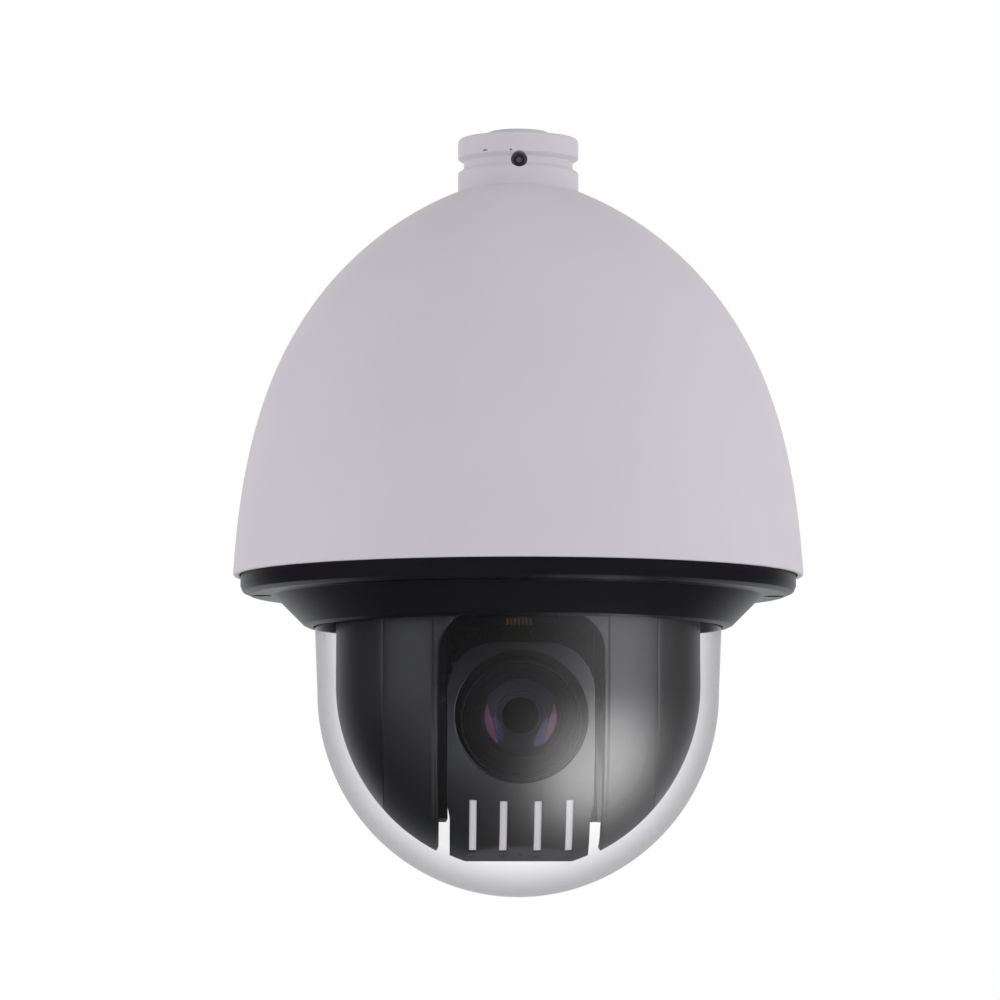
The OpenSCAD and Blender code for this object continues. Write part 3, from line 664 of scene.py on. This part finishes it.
def rear_column(x):
    over = min(NOTCH_CORNER, max(0, abs(x) - notch_x))
    edge = NOTCH_TOP - NOTCH_CORNER + math.sqrt(NOTCH_CORNER ** 2 - over ** 2)
    column = drop(x, BALL_TOP, [((BALL_TOP, BALL_Z), 8), ((BALL_Z, edge), 8)], 1)
    if abs(x) < NOTCH - 1e-6:
        return column + [column[-1]] * 24
    limit = BALL_Z - BALL_H * math.sqrt(1 - (x / BALL_R) ** 2)
    low = max(REAR_FOOT, limit + 2)
    column += [(x, ball_y(x, z), z) for z in np.linspace(edge, low, 9)[1:]]
    if abs(x) < REAR_OPEN - 1e-6:
        return column + [column[-1]] * 16
    return column + foot(x, low, 17, 1)[1:]


def rear_keep(i, j):
    near = min(abs(rear_xs[i]), abs(rear_xs[i + 1])) + 1e-6
    return j < 16 or (near >= NOTCH and j < 24) or near >= REAR_OPEN


skin(
    "pan_cover_rear_shell", [rear_column(x) for x in rear_xs], rear_keep, outward_from_axis, COVER_T, 0.45,
    body="pan_unit", slot="cover_black", material=cover_black, replaces=["pan_cover_rear"])


def cheek_wall(sign, side):
    """Flat wall beside the window, from the shell back to the tilt shaft, with half of the shaft's hole."""
    x = sign * WINDOW
    round_the_hole = TILT_Z + 9 * np.cos(np.linspace(0, math.pi, 15))
    heights = sorted(set(np.linspace(BALL_TOP, REAR_FOOT, 40)) | set(round_the_hole))
    columns = []
    for z in heights:
        hole = math.sqrt(max(0, 81 - (z - TILT_Z) ** 2))
        far = ball_y(x, z) - 0.6
        near = min(far, max(0.1, hole))
        columns.append([(x, side * (near + (far - near) * k / 4), z) for k in range(5)])
    word = ("left" if sign < 0 else "right") + ("_front" if side < 0 else "_rear")
    node = "pan_cover_front" if side < 0 else "pan_cover_rear"
    return skin("cheek_wall_" + word, columns, lambda i, j: True, lambda c: (-sign, 0, 0), COVER_T, 0.2,
                body="pan_unit", slot="cover_black", material=cover_black, replaces=[node])


for sign in (-1, 1):
    for side in (-1, 1):
        cheek_wall(sign, side)

FADE_Z = -229
CAP_STEP = 0.7
CAP_SEAM = SEAM + 0.15


def cap(sign):
    """Cap of a cheek. Its face sits a little below the front cover's and meets it flush lower down."""
    low = BALL_Z - BALL_H * math.sqrt(1 - (CAP_SEAM / BALL_R) ** 2)
    first = math.asin(0)
    heights = list(np.linspace(BALL_TOP, BALL_Z, 14, endpoint=False))
    last = math.asin((BALL_Z - low) / BALL_H)
    heights += [BALL_Z - BALL_H * math.sin(a) for a in np.linspace(first, last - 0.004, 30)]
    columns = []
    for k in range(41):
        column = []
        for z in heights:
            fade = min(1, max(0, (z - FADE_Z) / 55))
            radius = ball_r(z) - CAP_STEP * fade * fade * (3 - 2 * fade)
            radius = max(radius, CAP_SEAM + 0.001)
            reach = math.acos(CAP_SEAM / radius)
            turn = reach * (1 - 2 * k / 40)
            column.append((sign * radius * math.cos(turn), -radius * math.sin(turn), z))
        columns.append(column)
    word = "left" if sign < 0 else "right"
    return skin(f"pan_cap_{word}", columns, lambda i, j: True, outward_from_axis, COVER_T, 0.3,
                body="pan_unit", slot="cover_black", material=cap_black_painted_shade, replaces=[f"pan_cover_{word}"])


cap(-1)
cap(1)


# ---- tilting block: front cover ----
# Black PC-ABS shell with a round face on the tilt axis's sphere, a lens opening, four slots for the
# cooling air and a small flat at the foot.
BLOCK_R = 69.8
BLOCK_HALF = 27.8
BLOCK_TOP = 29.6
BLOCK_CORNER = 19
BLOCK_BACK = 24.2
FACET = 66.6
FACET_TURN = 65
LENS_HOLE = 25
LENS_RISE = 2
FOOT_HALF = 26.6
STEADY_X = 20.6
SLOT_XS = (-18, -6.4, 6.7, 18.8)
SLOT_W = 2.8
SLOT_TOP = -31.4
SLOT_FOOT = -55.6
zoom_joint = next(j for j in frame["record"]["behaviour"]["joints"] if j["name"] == "zoom")
REST_TILT = math.asin(-zoom_joint["axis"][2])
block_place = Matrix.Translation((0, 0, TILT_Z * MM)) @ Matrix.Rotation(REST_TILT, 4, "X")


def face_point(x, turn):
    """Point of the block's face at x, in the direction turn below the lens axis; the flat cuts the sphere."""
    reach = math.sqrt(BLOCK_R ** 2 - x * x)
    bend = math.cos(turn - math.radians(FACET_TURN))
    if bend > 0.2:
        reach = min(reach, FACET / bend)
    return (x, -reach * math.cos(turn), -reach * math.sin(turn))


def turn_at(x, z):
    return math.asin(max(-1, min(1, -z / math.sqrt(BLOCK_R ** 2 - x * x))))


def turn_where(test):
    """Last direction, from 20 to 89 degrees below the lens axis, that passes a test."""
    low, high = math.radians(20), math.radians(89)
    for _ in range(40):
        mid = (low + high) / 2
        if test(mid):
            low = mid
        else:
            high = mid
    return low


corner_start = BLOCK_HALF - BLOCK_CORNER
slot_edges = [s + side * SLOT_W / 2 for s in SLOT_XS for side in (-1, 1)]
across_lens = [23.2 * math.sin(a) for a in np.linspace(0.6, math.pi / 2, 12)]
block_xs = mirrored([0, 3.1, corner_start, 12, 14.6] + across_lens
                    + [24, 24.9, 25.8, 26.6, 27.1, 27.4, 27.6, 27.72, BLOCK_HALF])
block_xs = sorted([x for x in block_xs if all(abs(x - e) > 0.35 for e in slot_edges)] + slot_edges)


def drawn_in(point):
    """The face's point moved toward the middle where the foot of the cover narrows."""
    x, y, z = point
    share = min(1, max(0, (-34 - z) / 6))
    half = BLOCK_HALF - (BLOCK_HALF - FOOT_HALF) * share
    if abs(x) <= STEADY_X or share == 0:
        return point
    scale = (half - STEADY_X) / (BLOCK_HALF - STEADY_X)
    return face_point(math.copysign(STEADY_X + (abs(x) - STEADY_X) * scale, x), math.atan2(-z, -y))


def block_column(x):
    """Points down the face at x: top edge, lens opening, slot's ends, crease of the flat, rear plane."""
    over = min(BLOCK_CORNER, max(0, abs(x) - corner_start))
    top = BLOCK_TOP - BLOCK_CORNER + math.sqrt(max(0, BLOCK_CORNER ** 2 - over ** 2))
    hole = math.sqrt(max(0, (LENS_HOLE - 1.8) ** 2 - x * x))
    crease = math.radians(FACET_TURN) - math.acos(min(1, FACET / math.sqrt(BLOCK_R ** 2 - x * x)))
    slot_foot = turn_where(lambda t: face_point(x, t)[2] > SLOT_FOOT)
    back = turn_where(lambda t: -face_point(x, t)[1] > BLOCK_BACK)
    before = min(crease, slot_foot - 0.004)
    after = max(crease, slot_foot + 0.004)
    column = [face_point(x, t) for t in np.linspace(turn_at(x, top), turn_at(x, LENS_RISE + hole), UPPER + 1)]
    start = turn_at(x, LENS_RISE - hole)
    column.append(face_point(x, start))
    for end, count in ((turn_at(x, SLOT_TOP), 9), (before, 9), (slot_foot, 2), (after, 2), (back, 8)):
        column += [face_point(x, t) for t in np.linspace(start, end, count + 1)[1:]]
        start = end
    return [drawn_in(p) for p in column]


UPPER = 7
SLOT_ROWS = range(UPPER + 10, UPPER + 21)
block_columns = [block_column(x) for x in block_xs]


def block_keep(i, j):
    mid = (block_xs[i] + block_xs[i + 1]) / 2
    if j == UPPER:
        return False
    return not (j in SLOT_ROWS and any(abs(mid - s) < SLOT_W / 2 for s in SLOT_XS))


def block_face():
    """The face's grid, with its side walls run back to the cover's rear plane."""
    rows = len(block_columns[0])
    verts = [p for column in block_columns for p in column]
    faces = []
    for i in range(len(block_columns) - 1):
        for j in range(rows - 1):
            if block_keep(i, j):
                faces.append((i * rows + j, i * rows + j + 1, (i + 1) * rows + j + 1, (i + 1) * rows + j))
    for end in (0, len(block_columns) - 1):
        last = [end * rows + j for j in range(rows)]
        for k in range(1, 7):
            fresh = []
            for j in range(rows):
                x, y, z = block_columns[end][j]
                fresh.append(len(verts))
                verts.append((x, y + (-BLOCK_BACK - y) * k / 6, z))
            for j in range(rows - 1):
                if j != UPPER:
                    faces.append((last[j], last[j + 1], fresh[j + 1], fresh[j]))
            last = fresh
    return verts, faces


def block_outward(centre):
    if centre.length < BLOCK_R - 3.5:
        return (centre.x, 0, 0)
    return tuple(centre)


block = plate(
    "tilt_cover_front_shell", *block_face(), block_outward, COVER_T, 0.4, "camera_block", "cover_black",
    cover_black, ["tilt_cover_front"], place=block_place, even=True)
forward = block_place @ Matrix.Rotation(math.radians(90), 4, "X")
opening = rounded([(0.001, 45), (LENS_HOLE, 45), (LENS_HOLE, 64.6), (LENS_HOLE + 4, 68.6), (0.001, 68.6)])
cut(block, solid_cutter(opening, forward @ Matrix.Translation((0, LENS_RISE * MM, 0)), 192))

# Moulded studs on the flat, one under each slot and one at its middle
for number, x in enumerate(SLOT_XS + (0.4,)):
    turn = math.radians(59.7 if x == 0.4 else 62.5)
    lean = Matrix.Rotation(math.radians(90 + FACET_TURN), 4, "X")
    at = block_place @ Matrix.Translation(Vector(face_point(x, turn)) * MM) @ lean
    stud = rounded([(0.001, -0.3), (0.95, -0.3), (0.95, 0.12, 0.1), (0.6, 0.02, 0.1), (0.001, 0.0)])
    solid(f"dimple_{number}", *turned_mesh(stud, 28),
          "camera_block", "cover_black", cover_black, place=at)


# ---- vent strips ----
# Stand in for the bright sheet that the model holds behind the slots: one pale strip seated in each slot,
# just below the cover's face. What the real one is made of can't be seen; felt is a guess at its dull white.
felt = finish("white_filter_felt", "#E8E6E6", 0.9, grain=0.5, relief=0.03, mottle=0.03)


def sunk(x, turn, depth):
    here = Vector(face_point(x, turn))
    return tuple(here - Vector((0, here.y, here.z)).normalized() * depth)


for number, x in enumerate(SLOT_XS):
    first = turn_at(x, SLOT_TOP + 0.4)
    last = turn_where(lambda t: face_point(x, t)[2] > SLOT_FOOT - 0.4)
    strip = [[sunk(side, t, 0.6) for t in np.linspace(first, last, 25)] for side in (x - 1.5, x, x + 1.5)]
    skin(f"vent_strip_{number}", strip, lambda i, j: True, tuple, 0.8, 0, body="camera_block",
         slot="zinc_plate", material=felt, replaces=["vent_plate"], place=block_place)


# ---- lens ----
# Turned aluminium barrel, anodised black, with stepped baffles round a coated front element. A slim
# bright-edged ring trims its front.
BARREL_R = 22
TRIM_R = 22.7
GLASS_R = 15
CROWN_R = 40
anodised = finish("black_anodised_aluminium", "#141417", 0.5, metal=0.0, grain=0.3, relief=0.006, mottle=0.08)
lip_black = finish("diamond_turned_black_edge", "#2A2A2F", 0.34, metal=0.2, grain=0.25, relief=0.004)
barrel = solid(
    "lens_barrel_turned",
    *turned_mesh(rounded([
        (BARREL_R, 18.05), (BARREL_R, 62.6, 0.15), (21.1, 62.6, 0.2), (20.9, 61.5, 0.2), (18.9, 61.1, 0.25),
        (18.5, 60.3, 0.2),
        (15.7, 59.6, 0.2), (15.05, 59.0, 0.15), (15.05, 56), (20, 56), (20, 18.05)
    ]), 192),
    "camera_block", "dark_plastic", anodised, ["lens_barrel"], place=forward)
trim = solid(
    "lens_trim_ring",
    *turned_mesh(rounded([
        (BARREL_R + 0.04, 56), (TRIM_R, 56), (TRIM_R, 64.4, 0.2), (22.3, 64.4, 0.15), (BARREL_R + 0.04, 62.7)
    ]), 192),
    "camera_block", "dark_plastic", lip_black, ["lens_bezel"], place=forward)
for piece in (block, barrel, trim):
    keep_light_off(piece, off_block)
for piece in (barrel, trim):
    keep_light_off(piece, off_dome, off_ring)

# Foam collar behind the opening, so that no light shows between the barrel and the cover
foam = finish("black_polyurethane_foam", "#0E0E10", 0.95, grain=0.6, relief=0.05, mottle=0.2)
collar = rounded([(22.06, 52), (25.5, 52), (25.5, 55.4, 0.6), (22.06, 55.4)])
solid("lens_foam_collar", *turned_mesh(collar, 96), "camera_block", "seal_rubber", foam, place=forward)

# Front element: clear crown glass with a faint violet anti-reflection coat
coated = bpy.data.materials.new("coated_crown_glass")
coated.use_nodes = True
tree = coated.node_tree
tree.nodes.clear()
edge = add(tree, "LayerWeight", {"Blend": 0.5})
steep = add(tree, "Math", {"operation": "POWER", 1: 4.0}, {0: (edge, "Facing")})
spot = add(tree, "TexCoord")
trace = add(tree, "TexNoise", {"Scale": 70.0}, {"Vector": (spot, "Object")})
tone = add(tree, "ValToRGB", links={0: (trace, 0)})
tone.color_ramp.elements[0].color = paint("#8E86B4")
tone.color_ramp.elements[1].color = paint("#9A94BE")
bounce = add(tree, "MapRange", {"To Min": 0.02, "To Max": 0.4}, {"Value": (steep, 0)})
gloss = add(tree, "BsdfGlossy", {"Roughness": 0.04}, {"Color": (tone, 0)})
through = add(tree, "BsdfTransparent", {"Color": paint("#E4E4EA")})
glass = add(tree, "MixShader", links={0: (bounce, 0), 1: (through, 0), 2: (gloss, 0)})
add(tree, "OutputMaterial", links={"Surface": (glass, 0)})
crown = []
for k in range(20, -1, -1):
    r = GLASS_R * k / 20
    crown.append((max(0.001, r), 19.4 + math.sqrt(CROWN_R ** 2 - r ** 2)))
solid("front_element", *turned_mesh([(0.001, 56), (GLASS_R, 56)] + crown, 128), "camera_block", "lens_glass",
      coated, ["front_lens"], place=forward)

# Retaining rings behind the glass, blackened, with bare thin edges
edge_grey = finish("bare_ring_edge", "#5A5A60", 0.3, metal=0.7, grain=0.25, relief=0.004)
retainer = rounded([(9.6, 54.5), (15.6, 54.5), (15.6, 55.9), (14.6, 55.9), (9.6, 55.1)])
solid("lens_retainer", *turned_mesh(retainer, 128), "camera_block", "dark_plastic", anodised, place=forward)
for name, radius, level in (("retainer_edge_outer", 9.6, 55.2), ("retainer_edge_inner", 7.4, 54.9)):
    edge = rounded([(radius - 0.35, level - 0.5), (radius, level - 0.5), (radius, level, 0.15),
                    (radius - 0.35, level, 0.15)])
    solid(name, *turned_mesh(edge, 128),
          "camera_block", "dark_plastic", edge_grey, place=forward)
solid("lens_inner_stop", *turned_mesh([(7.4, 54.2), (9.4, 54.2), (9.4, 54.9), (7.4, 54.7)], 128),
      "camera_block", "dark_plastic", anodised, place=forward)

# Painted reflection: magenta crescents on the two sides of the retaining ring, meshes coloured to stand in
# for the coat's reflection
painted_reflection_finish = finish("painted_magenta_coat_reflection", "#C0626C", 0.3, grain=2.0, relief=0.002, mottle=0.15, coat=0.5)


def lune(sign):
    """Thin crescent of painted reflection between the ring's edge and an arc that bulges to it, on one side
    of the glass.
    """
    verts, faces = [], []
    count = 24
    for k in range(count + 1):
        turn = math.radians(-50 + 72 * k / count)
        width = 2.6 * math.sin(math.pi * k / count) ** 0.8 + 0.02
        for r in (13.6, 13.6 - width):
            level = 55.1 + (r - 9.6) * 0.16 + 0.06
            for lift in (0, 0.05):
                verts.append((sign * r * math.cos(turn), r * math.sin(turn), level + lift))
    for k in range(count):
        a, b = 4 * k, 4 * (k + 1)
        for p, q in ((0, 1), (1, 3), (3, 2), (2, 0)):
            faces.append((a + p, a + q, b + q, b + p))
    faces += [(0, 1, 3, 2), tuple(4 * count + k for k in (0, 2, 3, 1))]
    word = "left" if sign < 0 else "right"
    solid(f"painted_coat_reflection_{word}", verts, faces, "camera_block", "lens_glass", painted_reflection_finish, place=forward)


lune(-1)
lune(1)


# ---- ribbon contacts ----
# Flex connector on top of the camera module: a black base with gold-plated pins.
gold = finish("gold_plated_contacts", "#F2BC50", 0.38, metal=0.35, grain=0.4, relief=0.01, mottle=0.15)
fine_black = finish("fine_textured_black_abs", "#141417", 0.5, grain=0.35, relief=0.02, mottle=0.1)


def slab(low, high, soft=0.1):
    """Box with chamfered upright edges, from its two corners in mm."""
    (x0, y0, z0), (x1, y1, z1) = low, high
    rim = [(x0 + soft, y0), (x1 - soft, y0), (x1, y0 + soft), (x1, y1 - soft), (x1 - soft, y1),
           (x0 + soft, y1), (x0, y1 - soft), (x0, y0 + soft)]
    verts = [(x, y, z) for z in (z0, z1) for x, y in rim]
    faces = [tuple(range(7, -1, -1)), tuple(range(8, 16))]
    faces += [(k, (k + 1) % 8, 8 + (k + 1) % 8, 8 + k) for k in range(8)]
    return verts, faces


solid("contact_base", *slab((-7, -9.5, 26.35), (7, -5, 27.75)), "camera_block", "dark_plastic", fine_black,
      ["contact_strip"], place=block_place)
for k in range(7):
    x = -5.05 + 1.5 * k
    solid(f"contact_pin_{k}", *slab((x, -9.9, 27.7), (x + 1.1, -9.2, 30.3)), "camera_block", "gold_contact",
          gold, ["contact_strip"], place=block_place)


# ---- everything else, kept as the model holds it ----
# Inner parts keep their shape and take the finish that the real ones have.
steel = finish("zinc_plated_steel", "#B9BBC0", 0.32, metal=1.0, grain=0.3, relief=0.006)
zinc_sheet = finish("zinc_plated_sheet", "#D9D8DC", 0.5, metal=0.6, grain=0.5, relief=0.006)
cast = finish("as_cast_aluminium", "#9C9EA2", 0.5, metal=1.0, grain=0.9, relief=0.03, mottle=0.1)
machined = finish("turned_aluminium", "#B8BABE", 0.28, metal=1.0, grain=0.25, relief=0.006)
rubber = finish("moulded_black_rubber", "#1A1A1B", 0.7, grain=0.5, relief=0.02)
board = finish("solder_masked_glass_fibre", "#1C4A32", 0.35, grain=1.2, relief=0.01, mottle=0.2)
optic = finish("coated_optical_glass", "#11131B", 0.06, grain=2.0, relief=0.0002, coat=1.0)
by_slot = {
    "painted_casting": coated_casting, "shield_plastic": asa, "inlet_rubber": inlet_rubber,
    "housing_aluminium": cast, "ring_black": ring_coat, "clear_dome": clear, "cover_black": cover_black,
    "steel": steel, "blackened_steel": black_oxide, "set_screw_steel": set_steel, "seal_rubber": rubber,
    "board_green": board, "gold_contact": gold, "dark_plastic": fine_black, "machined_aluminium": machined,
    "zinc_plate": zinc_sheet, "lens_glass": optic,
}
slot_of = {s["node"]: s["material_slot"] for s in frame["record"]["subparts"]}
for name, obj in frame["nodes"].items():
    for place in obj.material_slots:
        place.material = by_slot[slot_of[name]]
